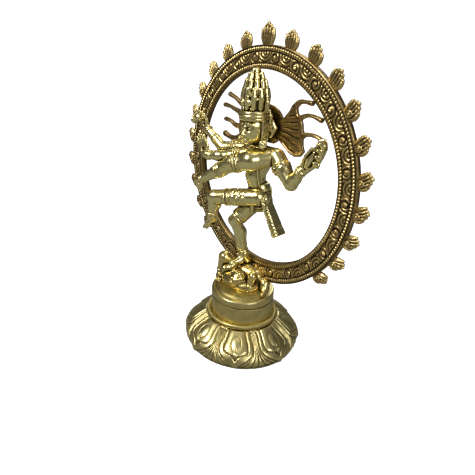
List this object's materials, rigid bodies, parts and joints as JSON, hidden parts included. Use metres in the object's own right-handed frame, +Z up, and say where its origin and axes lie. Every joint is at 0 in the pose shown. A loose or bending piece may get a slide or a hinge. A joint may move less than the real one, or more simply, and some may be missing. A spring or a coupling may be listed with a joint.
{
  "type": "nataraja statue",
  "caption": "Cast brass dancing four-armed figure on a dwarf, inside an oval ring of flames, on a round hollow lotus base.",
  "frame": {"origin": "on the floor under the middle of the lotus base", "axes": "+Z up, the dancer faces -Y, the flame arch lies in a plane parallel to XZ"},
  "size_m": [0.178, 0.0936, 0.24],
  "materials": {
    "base_brass": "polished cast brass with a thin greenish patina in the hollows",
    "steel_hardware": "plain zinc-plated steel",
    "arch_brass": "cast brass left brown and dark in the relief, bright on the high edges",
    "dwarf_brass": "cast brass, dark in the folds",
    "figure_brass": "polished cast brass with dark engraved lines",
    "ornament_brass": "cast and chased brass with dark recesses",
    "hair_brass": "cast brass with dark grooves"
  },
  "bodies": {
    "root": {"lotus_base": "base_brass", "rope_collar": "base_brass", "neck_drum": "base_brass", "plinth_disc": "base_brass", "tie_stud": "steel_hardware", "stud_washer": "steel_hardware", "stud_nut": "steel_hardware", "arch_ring": "arch_brass", "arch_saddle": "arch_brass", "saddle_pins": "arch_brass", "arch_top_flame": "arch_brass", "arch_flames": "arch_brass", "dwarf_body": "dwarf_brass", "dwarf_head": "dwarf_brass", "dwarf_arms": "dwarf_brass", "dwarf_legs": "dwarf_brass", "pelvis_dhoti": "figure_brass", "torso": "figure_brass", "standing_leg": "figure_brass", "raised_leg": "figure_brass", "hip_sash": "ornament_brass", "head": "figure_brass", "crown_band": "ornament_brass", "crown": "ornament_brass", "earrings": "ornament_brass", "hair_disc": "hair_brass", "hair_fan_left": "hair_brass", "hair_fan_right": "hair_brass", "fire_arm": "figure_brass", "drum_arm": "figure_brass", "hand_drum": "ornament_brass", "blessing_arm": "figure_brass", "sweeping_arm": "figure_brass"}
  },
  "joints": []
}
